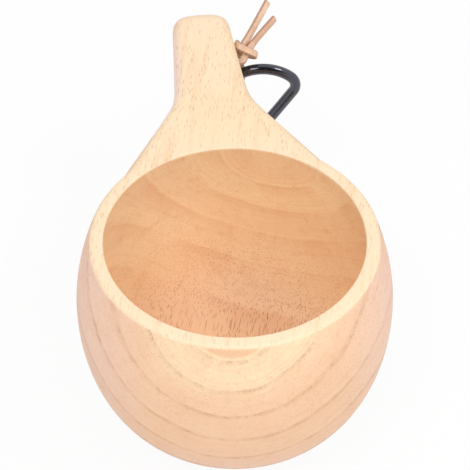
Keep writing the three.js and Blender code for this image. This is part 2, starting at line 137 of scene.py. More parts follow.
# %% Smooth line of the thong
LINE_STEP = 0.35 * MM


def smooth_line(points, per_span=24):
    """Points of a centripetal Catmull-Rom curve through the given ones."""
    ends = [2 * points[0] - points[1]] + list(points) + [2 * points[-1] - points[-2]]
    line = []
    for p0, p1, p2, p3 in zip(ends, ends[1:], ends[2:], ends[3:]):
        d0, d1, d2 = ((b - a).length ** 0.5 for a, b in ((p0, p1), (p1, p2), (p2, p3)))
        m1 = ((p1 - p0) / d0 - (p2 - p0) / (d0 + d1) + (p2 - p1) / d1) * d1
        m2 = ((p2 - p1) / d1 - (p3 - p1) / (d1 + d2) + (p3 - p2) / d2) * d1
        for k in range(per_span):
            t = k / per_span
            line.append(
                p1 * (2 * t**3 - 3 * t**2 + 1) + m1 * (t**3 - 2 * t**2 + t)
                + p2 * (3 * t**2 - 2 * t**3) + m2 * (t**3 - t**2)
            )
    return line + [points[-1].copy()]


def even_steps(line, step):
    """The same line with its points an even step apart."""
    along = [0.0]
    for a, b in zip(line, line[1:]):
        along.append(along[-1] + (b - a).length)
    count = round(along[-1] / step)
    even, i = [], 0
    for k in range(count + 1):
        target = along[-1] * k / count
        while i < len(line) - 2 and along[i + 1] < target:
            i += 1
        part = (target - along[i]) / (along[i + 1] - along[i])
        even.append(line[i].lerp(line[i + 1], part))
    return even, along[-1]


thong_line, thong_length = even_steps(smooth_line(THONG_ROUTE), LINE_STEP)
print(f"thong: {1000 * thong_length:.1f} mm long, {len(thong_line)} rings")

# %% [markdown]
# ## Thong: a strip with rounded edges
# The strip is cut from hide: wider than it is thick, with edges that have rounded in use. A curve
# with a bevel profile would also give a strip, but it can roll over in a knot. Here each ring's
# flat side is carried from the ring before it with the least turn, and some twist is added,
# so that the flat side lies outwards round the knot and the tails show an edge. The twist is a list
# of places along the strip, in millimetres, with degrees. The strip's own UV map runs along and
# round it.

# %% Section and twist of the strip
STRIP_WIDTH = 2.4 * MM
STRIP_THICK = 1.35 * MM
STRIP_POINTS = 16
STRIP_SQUARE = 3.2
THONG_TWIST = [
    (0, -66), (10.5, -66), (17.5, -8), (21, 0), (41, 12), (48.5, 12), (52, 0), (56.5, 0),
    (62, 12), (70, 46), (77, 110), (79.5, 95), (82.5, 64), (85.5, 62), (88, 77), (91, 92),
    (93, 90), (95, 75), (98, 62), (117, 62),
]


def strip_section():
    """Points round the strip's section, as shares of its flat side and of its edge."""
    points = []
    for k in range(STRIP_POINTS):
        a = 2 * math.pi * k / STRIP_POINTS
        c, s = math.cos(a), math.sin(a)
        points.append((
            math.copysign(abs(c) ** (2 / STRIP_SQUARE), c) * STRIP_WIDTH / 2,
            math.copysign(abs(s) ** (2 / STRIP_SQUARE), s) * STRIP_THICK / 2,
        ))
    return points


def twist_at(place):
    """Extra turn of the flat side, at a place along the strip in millimetres."""
    for (i, a), (j, b) in zip(THONG_TWIST, THONG_TWIST[1:]):
        if i <= place <= j:
            return math.radians(a + (b - a) * (place - i) / (j - i))
    return math.radians(THONG_TWIST[-1][1])


print(f"strip: {STRIP_WIDTH / MM:.2f} by {STRIP_THICK / MM:.2f} mm")

# %% Mesh of the strip


def strip_mesh(name, line):
    """Rings along the line, joined by faces, with both ends closed and a UV map."""
    section = strip_section()
    face = KNOT_UP.copy()
    verts, faces, uvs = [], [], []
    count = len(line)
    for i, middle in enumerate(line):
        heading = (line[min(i + 1, count - 1)] - line[max(i - 1, 0)]).normalized()
        face = (face - heading * face.dot(heading)).normalized()
        turn = Matrix.Rotation(twist_at(i * LINE_STEP / MM), 3, heading)
        up = turn @ face
        side = heading.cross(up)
        verts.extend(middle + side * w + up * t for w, t in section)
    for i in range(count - 1):
        for k in range(STRIP_POINTS):
            n = (k + 1) % STRIP_POINTS
            a, b = i * STRIP_POINTS, (i + 1) * STRIP_POINTS
            faces.append((a + k, a + n, b + n, b + k))
            uvs.append([(i, k), (i, k + 1), (i + 1, k + 1), (i + 1, k)])
    faces.append(tuple(reversed(range(STRIP_POINTS))))
    uvs.append([(0, k) for k in reversed(range(STRIP_POINTS))])
    last = (count - 1) * STRIP_POINTS
    faces.append(tuple(last + k for k in range(STRIP_POINTS)))
    uvs.append([(count - 1, k) for k in range(STRIP_POINTS)])
    mesh = bpy.data.meshes.new(name)
    mesh.from_pydata(verts, [], faces)
    layer = mesh.uv_layers.new(name="along_and_round")
    corners = (uv for polygon in uvs for uv in polygon)
    for loop, (i, k) in zip(layer.data, corners):
        loop.uv = (i * LINE_STEP, k / STRIP_POINTS)
    return mesh


thong = bpy.data.objects.new("leather_thong", strip_mesh("leather_thong", thong_line))
bpy.context.scene.collection.objects.link(thong)
print("thong faces:", len(thong.data.polygons))

# %% Finish of the strip
STRIP_CREASE = math.radians(50)
WELD = 1e-6


def only(obj):
    """Make one object the only selected and the active one."""
    bpy.ops.object.select_all(action="DESELECT")
    obj.select_set(True)
    bpy.context.view_layer.objects.active = obj


def face_outwards():
    """Merge points that coincide, turn all faces outwards and leave edit mode."""
    bpy.ops.mesh.select_all(action="SELECT")
    bpy.ops.mesh.remove_doubles(threshold=WELD)
    bpy.ops.mesh.normals_make_consistent(inside=False)
    bpy.ops.object.mode_set(mode="OBJECT")


only(thong)
bpy.ops.object.mode_set(mode="EDIT")
face_outwards()
bpy.ops.object.shade_smooth_by_angle(angle=STRIP_CREASE)
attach(thong, "thong")
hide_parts("thong_loop", "thong_knot", "thong_tail_long", "thong_tail_short")
print("thong finished:", len(thong.data.polygons), "faces")

# %% [markdown]
# ## Cup: the bowl's outside
# The bowl is round, as if turned on a lathe: a flat foot, a belly that is widest at 39 mm, and a
# wall that draws in to the rim. It could be pulled up ring by ring from a circle, but Spin is the
# lathe itself: one profile is drawn as a chain of extruded points and swept round the axis.

# %% Turned shapes
BOWL_R, BELLY_Z, RIM_Z, RIM_R = 46.0, 39.4, 65.0, 41.2
RIM_WALL, BELLY_WALL, FLOOR_WALL = 4.0, 5.0, 8.0
FOOT_R, FLOOR_R, RIM_ROUND = 25.0, 14.0, 1.4
SHOULDER_Z = RIM_Z - RIM_ROUND
PROFILE_STEPS = 24
SPIN_STEPS = 128


def primitive(name, add, **settings):
    """Add a primitive of that name, with nothing else selected."""
    bpy.ops.object.select_all(action="DESELECT")
    add(**settings)
    obj = bpy.context.object
    obj.name = name
    obj.data.name = name
    return obj


def turned(name, profile, steps=SPIN_STEPS):
    """Sweep a profile of (radius, height) points, in millimetres, round the vertical axis."""
    obj = primitive(name, bpy.ops.mesh.primitive_plane_add, size=MM)
    bpy.ops.object.mode_set(mode="EDIT")
    bpy.ops.mesh.merge(type="CENTER")
    bpy.ops.transform.translate(value=(profile[0][0] * MM, 0, profile[0][1] * MM))
    for (r0, z0), (r1, z1) in zip(profile, profile[1:]):
        step = ((r1 - r0) * MM, 0, (z1 - z0) * MM)
        bpy.ops.mesh.extrude_vertices_move(TRANSFORM_OT_translate={"value": step})
    bpy.ops.mesh.select_all(action="SELECT")
    bpy.ops.mesh.spin(steps=steps, angle=2 * math.pi, center=(0, 0, 0), axis=(0, 0, 1))
    face_outwards()
    return obj


print("a turned shape has", SPIN_STEPS, "steps round its axis")

# %% Bowl


def wall_radius(z, widest, mouth):
    """Radius of a wall above the belly."""
    return widest + (mouth - widest) * ((z - BELLY_Z) / (RIM_Z - BELLY_Z)) ** 2


def wall_profile(flat, bottom, widest, mouth):
    """A wall from its flat bottom up to the shoulder of the rim."""
    profile = [(0, bottom)]
    for k in range(PROFILE_STEPS + 1):
        a = math.pi / 2 * k / PROFILE_STEPS
        profile.append((
            flat + (widest - flat) * math.sin(a),
            BELLY_Z - (BELLY_Z - bottom) * math.cos(a),
        ))
    for k in range(1, PROFILE_STEPS + 1):
        z = BELLY_Z + (SHOULDER_Z - BELLY_Z) * k / PROFILE_STEPS
        profile.append((wall_radius(z, widest, mouth), z))
    return profile


def rim_round(radius, turn, rounding=RIM_ROUND, steps=6):
    """Quarter round of the rim, turning in (-1) on the outside or out (1) on the inside."""
    middle = radius + turn * rounding
    return [
        (
            middle - turn * rounding * math.cos(math.pi / 2 * k / steps),
            RIM_Z - rounding + rounding * math.sin(math.pi / 2 * k / steps),
        )
        for k in range(1, steps + 1)
    ]


outside = wall_profile(FOOT_R, 0, BOWL_R, RIM_R)
outside += rim_round(wall_radius(SHOULDER_Z, BOWL_R, RIM_R), -1) + [(0, RIM_Z)]
cup = turned("wooden_cup", outside)
print("profile: foot", FOOT_R, "mm, belly", BOWL_R, "mm, rim", RIM_R, "mm in radius")
print("bowl outside:", len(cup.data.polygons), "faces")

# %% [markdown]
# ## Cup: the handle
# Seen from above, the handle is a tapered grip that flares out to the bowl's sides. Its section is
# flat on top, with an edge of even rounding, and rounder below, and the underside curves down into
# the bowl. Such a form could be sculpted, but a loft keeps it fair: one closed outline for each place
# along the handle, and Bridge Edge Loops lays the skin between them.

# %% Measures of the handle
TIP_Y, TIP_ROUND, TIP_SQUARE, TIP_SWEEP = 101.3, 5.5, 2.8, math.radians(80)
GRIP_HALF, GRIP_TAPER, GRIP_THICK = 9.0, 0.066, 15.0
FLARE_ANGLE, FLARE_BLEND, FLARE_INSET = math.radians(31), 1.0, 1.8
SIDE_DROP, TOP_EDGE, TOP_SQUARE, UNDER_SQUARE = 5.5, 6.0, 3.0, 2.2
UNDER_ROUND, UNDER_SWEEP = 11.0, math.radians(53)
ROOT_INSIDE = 2.0
SIDE_Z = RIM_Z - SIDE_DROP
CAP_Y = TIP_Y - TIP_ROUND
FLANK_REACH = wall_radius(SIDE_Z, BOWL_R, RIM_R) - FLARE_INSET
ROOT_Y = FLANK_REACH * math.sin(FLARE_ANGLE) + ROOT_INSIDE
SECTION_POINTS = 64
HANDLE_LOOPS = 60
TIP_LOOPS = 10


def handle_half(y):
    """Half width of the handle seen from above."""
    grip = GRIP_HALF + GRIP_TAPER * (CAP_Y - y)
    flank = (FLANK_REACH - y * math.sin(FLARE_ANGLE)) / math.cos(FLARE_ANGLE)
    return (grip + flank) / 2 + math.hypot((grip - flank) / 2, FLARE_BLEND)


print(f"handle: {2 * handle_half(ROOT_Y):.1f} mm wide at its root, {2 * GRIP_HALF:.1f} mm at its end")

# %% Outlines of the handle


def underside(distance):
    """Height of the underside at a distance from the bowl's axis."""
    length = UNDER_ROUND * math.sin(UNDER_SWEEP)
    run = min(max(BOWL_R + length - distance, 0), length)
    return RIM_Z - GRIP_THICK - UNDER_ROUND + math.sqrt(UNDER_ROUND**2 - run**2)


def handle_outline(y, half, rise, fall):
    """One closed outline; rise and fall shrink its reach above and below the widest line."""
    outline = []
    for k in range(SECTION_POINTS):
        a = 2 * math.pi * k / SECTION_POINTS
        c, s = math.cos(a), math.sin(a)
        square = TOP_SQUARE if s >= 0 else UNDER_SQUARE
        edge = min(half, TOP_EDGE) if s >= 0 else half
        x = math.copysign(half - edge + edge * abs(c) ** (2 / square), c)
        if s >= 0:
            reach = SIDE_DROP * rise
        else:
            reach = (SIDE_Z - underside(math.hypot(x, y))) * fall
        z = SIDE_Z + reach * math.copysign(abs(s) ** (2 / square), s)
        outline.append(Vector((x, y, z)) * MM)
    return outline


outlines = []
for k in range(HANDLE_LOOPS + 1):
    y = ROOT_Y + (CAP_Y - ROOT_Y) * k / HANDLE_LOOPS
    outlines.append(handle_outline(y, handle_half(y), 1, 1))
for k in range(1, TIP_LOOPS + 1):
    a = TIP_SWEEP * k / TIP_LOOPS
    y = CAP_Y + TIP_ROUND * math.sin(a) / math.sin(TIP_SWEEP)
    narrow, rise, fall = (math.cos(a) ** (2 / square) for square in (TIP_SQUARE, TOP_SQUARE, UNDER_SQUARE))
    outlines.append(handle_outline(y, handle_half(CAP_Y) * narrow, rise, fall))
print("handle outlines:", len(outlines), "of", SECTION_POINTS, "points")

# %% Skin of the handle
handle = primitive("handle", bpy.ops.mesh.primitive_circle_add, vertices=SECTION_POINTS, radius=MM)
bpy.ops.object.mode_set(mode="EDIT")
for outline in outlines[1:]:
    bpy.ops.mesh.primitive_circle_add(vertices=SECTION_POINTS, radius=MM)
edit = bmesh.from_edit_mesh(handle.data)
edit.verts.ensure_lookup_table()
for i, point in enumerate(p for outline in outlines for p in outline):
    edit.verts[i].co = point
bmesh.update_edit_mesh(handle.data)
bpy.ops.mesh.select_all(action="SELECT")
bpy.ops.mesh.bridge_edge_loops()
bpy.ops.mesh.select_all(action="DESELECT")
bpy.ops.mesh.select_non_manifold()
bpy.ops.mesh.edge_face_add()
face_outwards()
print("handle:", len(handle.data.polygons), "faces")

# %% [markdown]
# ## Cup: joined and sanded over
# The handle is joined to the bowl with a Boolean modifier, which leaves a sharp line where they
# meet. Sanding takes such lines out of a carved cup. Bevels are hard to lay on that junction, so the
# skin is rebuilt from fine even cells with a Remesh modifier, and a few rounds of Smooth do what the
# sandpaper does.

# %% Join and sand
CELL = 0.72 * MM
SAND_FACTOR, SAND_ROUNDS = 0.5, 8


def combine(target, tool, operation):
    """Join a tool shape to a target, or cut it away, and remove the tool."""
    modifier = target.modifiers.new("combine", "BOOLEAN")
    modifier.operation = operation
    modifier.solver = "EXACT"
    modifier.object = tool
    only(target)
    bpy.ops.object.modifier_apply(modifier=modifier.name)
    bpy.data.objects.remove(tool)


combine(cup, handle, "UNION")
remesh = cup.modifiers.new("even_cells", "REMESH")
remesh.mode = "VOXEL"
remesh.voxel_size = CELL
only(cup)
bpy.ops.object.modifier_apply(modifier=remesh.name)
sand = cup.modifiers.new("sanding", "SMOOTH")
sand.factor = SAND_FACTOR
sand.iterations = SAND_ROUNDS
bpy.ops.object.modifier_apply(modifier=sand.name)
print("cup after sanding:", len(cup.data.polygons), "faces")

# %% [markdown]
# ## Cup: hollowed and bored
# The bowl is hollowed out after the sanding, because its inner edge stays crisp: the inside is turned
# as a shape of its own, with a narrow rounding at the top, and cut away. A drill then goes through
# the handle near its end, leaning down to the left.

# %% Hollow and bore
INNER_ROUND = 0.5
HOLE_D = 4.0 * MM
HOLE_LEAN = math.radians(14)
HOLE_LENGTH = 40 * MM
HOLE_SIDES = 48
CUP_CREASE = math.radians(40)

inner_widest = BOWL_R - BELLY_WALL
inner_mouth = RIM_R - RIM_WALL
inside_edge = wall_radius(RIM_Z - INNER_ROUND, inner_widest, inner_mouth)
inside = wall_profile(FLOOR_R, FLOOR_WALL, inner_widest, inner_mouth)
inside += [(inside_edge, RIM_Z - INNER_ROUND)] + rim_round(inside_edge, 1, INNER_ROUND)
inside += [(inside_edge + INNER_ROUND, RIM_Z + RIM_ROUND), (0, RIM_Z + RIM_ROUND)]
combine(cup, turned("inside", inside), "DIFFERENCE")
drill = primitive(
    "drill", bpy.ops.mesh.primitive_cylinder_add, vertices=HOLE_SIDES, radius=HOLE_D / 2,
    depth=HOLE_LENGTH, location=HOLE, rotation=(0, math.pi / 2 - HOLE_LEAN, 0),
)
combine(cup, drill, "DIFFERENCE")
only(cup)
bpy.ops.object.shade_smooth_by_angle(angle=CUP_CREASE)
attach(cup, "cup")
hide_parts("cup_body")
print("cup:", sum(len(p.vertices) - 2 for p in cup.data.polygons), "triangles")

# %% [markdown]
# ## Carabiner: the bent wire
# The frame is one round wire, bent in a plane: a straight back, a tight top corner that runs into a
# wide bow, and a bend at the foot. A curve with a bevel would give the tube, but Extrude and Spin
# follow the bending itself: a circle is pulled along the back, then turned about each bend's centre.
# The frame is modelled flat, with the back on X = 0, and hung in its place afterwards.

# %% Wire of the frame
WIRE_R = 1.7 * MM
WIRE_SIDES = 32
CORNER_STEPS, BOW_STEPS, BEND_STEPS = 16, 30, 24
SPINE = 34.0 * MM
CORNER_R, CORNER_SWEEP = 4.75 * MM, math.radians(80)
BOW_R = 13.4 * MM
FOOT_BEND_R, FOOT_BEND_SWEEP = 5.4 * MM, math.radians(140)
BOW_CENTRE = Vector((-CORNER_R, 0, 0)) + (CORNER_R - BOW_R) * Vector(
    (math.cos(CORNER_SWEEP), 0, math.sin(CORNER_SWEEP))
)
BOW_END = BOW_CENTRE - Vector((BOW_R, 0, 0))
BEND_CENTRE = Vector((-FOOT_BEND_R, 0, -SPINE))
BEND_END = BEND_CENTRE + FOOT_BEND_R * Vector(
    (math.cos(FOOT_BEND_SWEEP), 0, -math.sin(FOOT_BEND_SWEEP))
)
LEFTWARD, RIGHTWARD = (0, 1, 0), (0, -1, 0)

wire = primitive("carabiner_wire", bpy.ops.mesh.primitive_circle_add, vertices=WIRE_SIDES, radius=WIRE_R)
bpy.ops.object.mode_set(mode="EDIT")
bpy.ops.transform.translate(value=(0, 0, -SPINE))
bpy.ops.mesh.extrude_region_move(TRANSFORM_OT_translate={"value": (0, 0, SPINE)})
bpy.ops.mesh.spin(steps=CORNER_STEPS, angle=CORNER_SWEEP, center=(-CORNER_R, 0, 0), axis=LEFTWARD)
bpy.ops.mesh.spin(steps=BOW_STEPS, angle=math.pi - CORNER_SWEEP, center=BOW_CENTRE, axis=LEFTWARD)
bpy.ops.mesh.edge_face_add()
bpy.ops.mesh.select_all(action="DESELECT")
edit = bmesh.from_edit_mesh(wire.data)
for vert in edit.verts:
    vert.select = abs(vert.co.z + SPINE) < WELD and abs(vert.co.x) < 2 * WIRE_R
edit.select_flush_mode()
bmesh.update_edit_mesh(wire.data)
bpy.ops.mesh.spin(steps=BEND_STEPS, angle=FOOT_BEND_SWEEP, center=BEND_CENTRE, axis=RIGHTWARD)
bpy.ops.mesh.edge_face_add()
face_outwards()
print("wire:", len(wire.data.polygons), "faces")

# %% [markdown]
# ## Carabiner: tang and nose
# Both ends of the wire are pressed flat. The foot's end is a round tang that carries the hinge
# rivet, and the bow's end is a nose with a notch that hooks over the gate's latch pin. Each starts
# as a box or a cylinder, the nose's box with bevelled edges, and is joined to the wire before its
# hole is cut.

# %% Places and tools for the ends
FLAT_THICK = 1.4 * MM
TANG_R, TANG_CAM = 2.0 * MM, 0.9 * MM
HINGE_REACH = 3.6 * MM
NOSE_GAP, NOSE_LENGTH, NOSE_WIDTH = 1.0 * MM, 5.0 * MM, 2.8 * MM
RIVET_D, LATCH_D, LATCH_FROM_END = 1.4 * MM, 1.2 * MM, 1.7 * MM
FIT = 0.3 * MM
EDGE_ROUND, EDGE_SEGMENTS = 0.18 * MM, 3
DISC_SIDES = 40
HINGE = BEND_END + HINGE_REACH * Vector(
    (-math.sin(FOOT_BEND_SWEEP), 0, -math.cos(FOOT_BEND_SWEEP))
)
GATE_AXIS = (BOW_END - HINGE).normalized()
GATE_LEAN = math.atan2(GATE_AXIS.x, GATE_AXIS.z)
GATE_LENGTH = (BOW_END - HINGE).length - NOSE_GAP
LATCH_UP = GATE_LENGTH - LATCH_FROM_END
LATCH = HINGE + GATE_AXIS * LATCH_UP


def settle(obj):
    """Put an object's place into its mesh, so that the object sits at the origin."""
    only(obj)
    bpy.ops.object.transform_apply(location=True, rotation=True, scale=True)


def block(name, size, middle, lean, place, rounding=0.0):
    """A box of that size, centred at middle, then leant about Y and moved to its place."""
    obj = primitive(name, bpy.ops.mesh.primitive_cube_add, size=1)
    bpy.ops.object.mode_set(mode="EDIT")
    bpy.ops.transform.resize(value=size)
    bpy.ops.transform.translate(value=middle)
    if rounding:
        bpy.ops.mesh.bevel(offset=rounding, segments=EDGE_SEGMENTS, affect="EDGES")
    bpy.ops.object.mode_set(mode="OBJECT")
    obj.matrix_world = Matrix.Translation(place) @ Matrix.Rotation(lean, 4, "Y")
    settle(obj)
    return obj


def disc(name, diameter, length, place):
    """A round bar along Y through a place."""
    obj = primitive(
        name, bpy.ops.mesh.primitive_cylinder_add, vertices=DISC_SIDES, radius=diameter / 2,
        depth=length, location=place, rotation=(math.pi / 2, 0, 0),
    )
    settle(obj)
    return obj


print(f"hinge to latch: {LATCH_UP / MM:.1f} mm")

# %% Join the ends to the wire
cam_middle = HINGE + TANG_CAM * Vector((GATE_AXIS.z, 0, -GATE_AXIS.x))
to_cam = cam_middle - BEND_END
tongue_reach = to_cam.length + WIRE_R
tongue_lean = math.atan2(to_cam.x, to_cam.z)
combine(wire, block(
    "tongue", (2 * TANG_R, FLAT_THICK, tongue_reach), (0, 0, tongue_reach / 2 - WIRE_R),
    tongue_lean, BEND_END,
), "UNION")
combine(wire, disc("tang", 2 * TANG_R, FLAT_THICK, cam_middle), "UNION")
combine(wire, block(
    "nose", (NOSE_WIDTH, FLAT_THICK, NOSE_LENGTH + 2 * WIRE_R), (0, 0, WIRE_R - NOSE_LENGTH / 2),
    GATE_LEAN, BOW_END, EDGE_ROUND,
), "UNION")
combine(wire, disc("rivet_hole", RIVET_D + FIT, 4 * WIRE_R, HINGE), "DIFFERENCE")
combine(wire, block(
    "notch", (NOSE_WIDTH, 2 * WIRE_R, LATCH_D + 2 * FIT), (NOSE_WIDTH / 2 - LATCH_D / 2 - FIT, 0, 0),
    GATE_LEAN, LATCH,
), "DIFFERENCE")
print("frame:", len(wire.data.polygons), "faces")

# %% [markdown]
# ## Carabiner: the gate and its pins
# The gate is a round bar that closes the frame. It is forked at both ends, for the tang and for
# the nose, and bored along its middle for the spring. It is turned like the bowl, in a frame of its
# own with the hinge at the origin, and the slots and holes are cut out of it. Two flush steel pins
# cross it: the hinge rivet and the latch pin.

# %% Gate
GATE_R = 2.3
GATE_CHAMFER = 0.3
GATE_SIDES, PIN_SIDES, DOME_STEPS = 40, 32, 10
SLOT = FLAT_THICK + 2 * FIT
HINGE_SLOT = TANG_R + TANG_CAM + FIT
LATCH_SLOT = NOSE_LENGTH - NOSE_GAP + 2 * FIT
BORE_R, BORE_END = 1.25, 11.12
GATE_WIDE = 4 * GATE_R * MM
gate_top = GATE_LENGTH / MM

dome = [math.pi / 2 * k / DOME_STEPS for k in range(DOME_STEPS + 1)]
gate_profile = [(GATE_R * math.sin(a), -GATE_R * math.cos(a)) for a in dome]
gate_profile += [
    (GATE_R, gate_top - GATE_CHAMFER), (GATE_R - GATE_CHAMFER / 3, gate_top - GATE_CHAMFER / 3),
    (GATE_R - GATE_CHAMFER, gate_top), (0, gate_top),
]
gate = turned("carabiner_gate_bar", gate_profile, GATE_SIDES)
ORIGIN = Vector((0, 0, 0))
combine(gate, block(
    "hinge_slot", (GATE_WIDE, SLOT, HINGE_SLOT + GATE_WIDE / 2), (0, 0, HINGE_SLOT / 2 - GATE_WIDE / 4),
    0, ORIGIN,
), "DIFFERENCE")
combine(gate, block(
    "latch_slot", (GATE_WIDE, SLOT, 2 * LATCH_SLOT), ORIGIN, 0, Vector((0, 0, GATE_LENGTH)),
), "DIFFERENCE")
bore_profile = [(0, 0), (BORE_R, 0), (BORE_R, BORE_END), (0, BORE_END)]
combine(gate, turned("bore", bore_profile, PIN_SIDES), "DIFFERENCE")
print("gate:", len(gate.data.polygons), "faces,", round(gate_top, 1), "mm long")

# %% Pins
PIN_DOME = 0.12


def pin(name, diameter, height):
    """A flush pin across the gate, with slightly domed ends."""
    radius, half = diameter / 2 / MM, GATE_R
    end = [(radius, half - PIN_DOME), (0.8 * radius, half - 0.35 * PIN_DOME), (0, half)]
    obj = turned(name, [(r, -z) for r, z in reversed(end)] + end, PIN_SIDES)
    obj.matrix_world = Matrix.Translation((0, 0, height)) @ Matrix.Rotation(math.pi / 2, 4, "X")
    settle(obj)
    return obj


hinge_rivet = pin("hinge_rivet", RIVET_D, 0)
latch_pin = pin("latch_pin", LATCH_D, LATCH_UP)
print("pins:", hinge_rivet.name, latch_pin.name)

# %% [markdown]
# ## Carabiner: hung on the thong
# The flat frame now goes where it hangs: the strand of thong runs through its bow, and the frame
# leans and turns about that strand. Matrices say this in the order in which it happens, from right
# to left, and Apply Transform then writes the place into the meshes.

# %% Hang the carabiner
HANG_ANGLE = math.radians(162)
HANG_TILT = math.radians(31.7)
HANG_TURN = math.radians(-5)
HANG_REACH = 10.6 * MM
METAL_CREASE = math.radians(35)
strand = BOW_CENTRE + HANG_REACH * Vector((math.cos(HANG_ANGLE), 0, math.sin(HANG_ANGLE)))
hung = (
    Matrix.Translation(HANG_POINT)
    @ Matrix.Rotation(HANG_TURN, 4, "Z")
    @ Matrix.Rotation(HANG_TILT, 4, "Y")
    @ Matrix.Translation(-strand)
)
hinged = hung @ Matrix.Translation(HINGE) @ Matrix.Rotation(GATE_LEAN, 4, "Y")

for obj, place, body, slot, cad_node in (
    (wire, hung, "carabiner", "black_coat", "carabiner_frame"),
    (gate, hinged, "gate", "black_coat", "carabiner_gate"),
    (hinge_rivet, hinged, "carabiner", "steel", "gate_hinge_rivet"),
    (latch_pin, hinged, "gate", "steel", "gate_latch_pin"),
):
    obj.matrix_world = place
    settle(obj)
    bpy.ops.object.shade_smooth_by_angle(angle=METAL_CREASE)
    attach(obj, body)
    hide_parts(cad_node)
    lo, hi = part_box(cad_node)
    corners = [obj.matrix_world @ v.co for v in obj.data.vertices]
    off = max(
        max(abs(min(c[k] for c in corners) - lo[k]), abs(max(c[k] for c in corners) - hi[k]))
        for k in range(3)
    )
    print(f"{obj.name}: within {1000 * off:.2f} mm of {cad_node}")

# %% [markdown]
# ## Thong: the pieces it carries
# The pieces that hang on the thong are gathered in one list: the new frame, gate and pins, and the
# spring and the plunger of the imported model.

CARRIED = [wire, gate, hinge_rivet, latch_pin]
CARRIED += [frame["nodes"][name] for name in ("gate_spring", "gate_plunger")]
print("thong declared, with", len(CARRIED), "pieces on it")

# %% [markdown]
# ## Nodes for the finishes
# Materials here are made of nodes. A few small helpers keep the lines short: one adds any node with
# its settings and inputs, and the others add the kinds that come back often. An input may be a number
# or another node's socket.

# %% Node helpers


def node(tree, kind, settings=None, **inputs):
    """Add a node, set its properties, and give or link its inputs by name, or as i0, i1 and on."""
    made = tree.nodes.new(kind)
    for key, value in (settings or {}).items():
        setattr(made, key, value)
    for key, value in inputs.items():
        socket = made.inputs[int(key[1:]) if key[1:].isdigit() else key]
        if isinstance(value, bpy.types.NodeSocket):
            tree.links.new(value, socket)
        else:
            socket.default_value = value
    return made


def calc(tree, operation, a, b=0.0, c=0.0):
    """The result of a Math node."""
    return node(tree, "ShaderNodeMath", {"operation": operation}, i0=a, i1=b, i2=c).outputs[0]


print("helpers for nodes and sums")

# %% Vector and colour helpers


def in_mm(tree, vector):
    """A vector of metres, in millimetres."""
    return node(tree, "ShaderNodeVectorMath", {"operation": "SCALE"}, i0=vector, Scale=1 / MM).outputs[0]


def vector_value(tree, operation, a, b=(0, 0, 0)):
    """The single number that a Vector Math node gives, such as a length."""
    return node(tree, "ShaderNodeVectorMath", {"operation": operation}, i0=a, i1=b).outputs[1]


def across_axis(tree, vector, keep):
    """Distance from an axis: the vector's length with only the parts that keep gives as 1."""
    flat = node(tree, "ShaderNodeVectorMath", {"operation": "MULTIPLY"}, i0=vector, i1=keep).outputs[0]
    return vector_value(tree, "LENGTH", flat)


def mix(tree, share, a, b, blend="MIX"):
    """The result of a colour Mix node."""
    made = node(tree, "ShaderNodeMix", {"data_type": "RGBA", "blend_type": blend}, i0=share, i6=a, i7=b)
    return made.outputs[2]


def soft_step(tree, value, low, high):
    """0 below low, 1 above high, and smooth between."""
    made = node(
        tree, "ShaderNodeMapRange", {"interpolation_type": "SMOOTHSTEP"},
        i0=value, i1=low, i2=high, i3=0.0, i4=1.0,
    )
    return made.outputs[0]


def srgb(red, green, blue):
    """A colour as it is seen on a screen, 0 to 255, in the linear values that nodes use."""
    def linear(c):
        c /= 255
        return c / 12.92 if c <= 0.04045 else ((c + 0.055) / 1.055) ** 2.4
    return (linear(red), linear(green), linear(blue), 1.0)


print("cream in linear values:", [round(c, 2) for c in srgb(249, 221, 182)])

# %% Material helpers


def new_material(name):
    """A plain material, with its node tree, its Principled shader and the Object coordinates."""
    material = bpy.data.materials.new(name)
    material.use_nodes = True
    tree = material.node_tree
    coordinates = tree.nodes.new("ShaderNodeTexCoord").outputs["Object"]
    return material, tree, tree.nodes["Principled BSDF"], coordinates


def set_roughness(tree, surface, patches, least, spread):
    """Roughness from least up to least and spread, as the patches vary."""
    tree.links.new(calc(tree, "MULTIPLY_ADD", patches, spread, least), surface.inputs["Roughness"])


def set_bump(tree, surface, height, strength, depth):
    """Fine relief of that depth in metres."""
    bump = node(tree, "ShaderNodeBump", Strength=strength, Distance=depth, Height=height)
    tree.links.new(bump.outputs[0], surface.inputs["Normal"])


def coat(obj, material):
    """Give an object one material."""
    obj.data.materials.clear()
    obj.data.materials.append(material)


print("helpers for materials")

# %% [markdown]
# ## An uneven surface, shared by the finishes
# No finish is even: hands, tools and cloths leave soft patches and fine marks. One node group makes
# both from noise, and every finish below takes its own amount from it.

# %% Uneven surface group
uneven = bpy.data.node_groups.new("uneven_surface", "ShaderNodeTree")
uneven.interface.new_socket("Vector", in_out="INPUT", socket_type="NodeSocketVector")
PATTERNS = (("Patches", "Patch", 2.0, 0.5), ("Marks", "Mark", 3.0, 0.6))
for count, result, detail, rough in PATTERNS:
    uneven.interface.new_socket(count, in_out="INPUT", socket_type="NodeSocketFloat")
    uneven.interface.new_socket(result, in_out="OUTPUT", socket_type="NodeSocketFloat")
group_in = uneven.nodes.new("NodeGroupInput")
group_out = uneven.nodes.new("NodeGroupOutput")
for count, result, detail, rough in PATTERNS:
    pattern = node(
        uneven, "ShaderNodeTexNoise", Vector=group_in.outputs["Vector"], Scale=group_in.outputs[count],
        Detail=detail, Roughness=rough,
    )
    uneven.links.new(pattern.outputs[0], group_out.inputs[result])


def add_uneven(tree, vector, patches, marks):
    """The group's patches and marks, each with its count to the metre."""
    made = tree.nodes.new("ShaderNodeGroup")
    made.node_tree = uneven
    tree.links.new(vector, made.inputs["Vector"])
    made.inputs["Patches"].default_value = patches
    made.inputs["Marks"].default_value = marks
    return made.outputs["Patch"], made.outputs["Mark"]


print("group:", uneven.name)

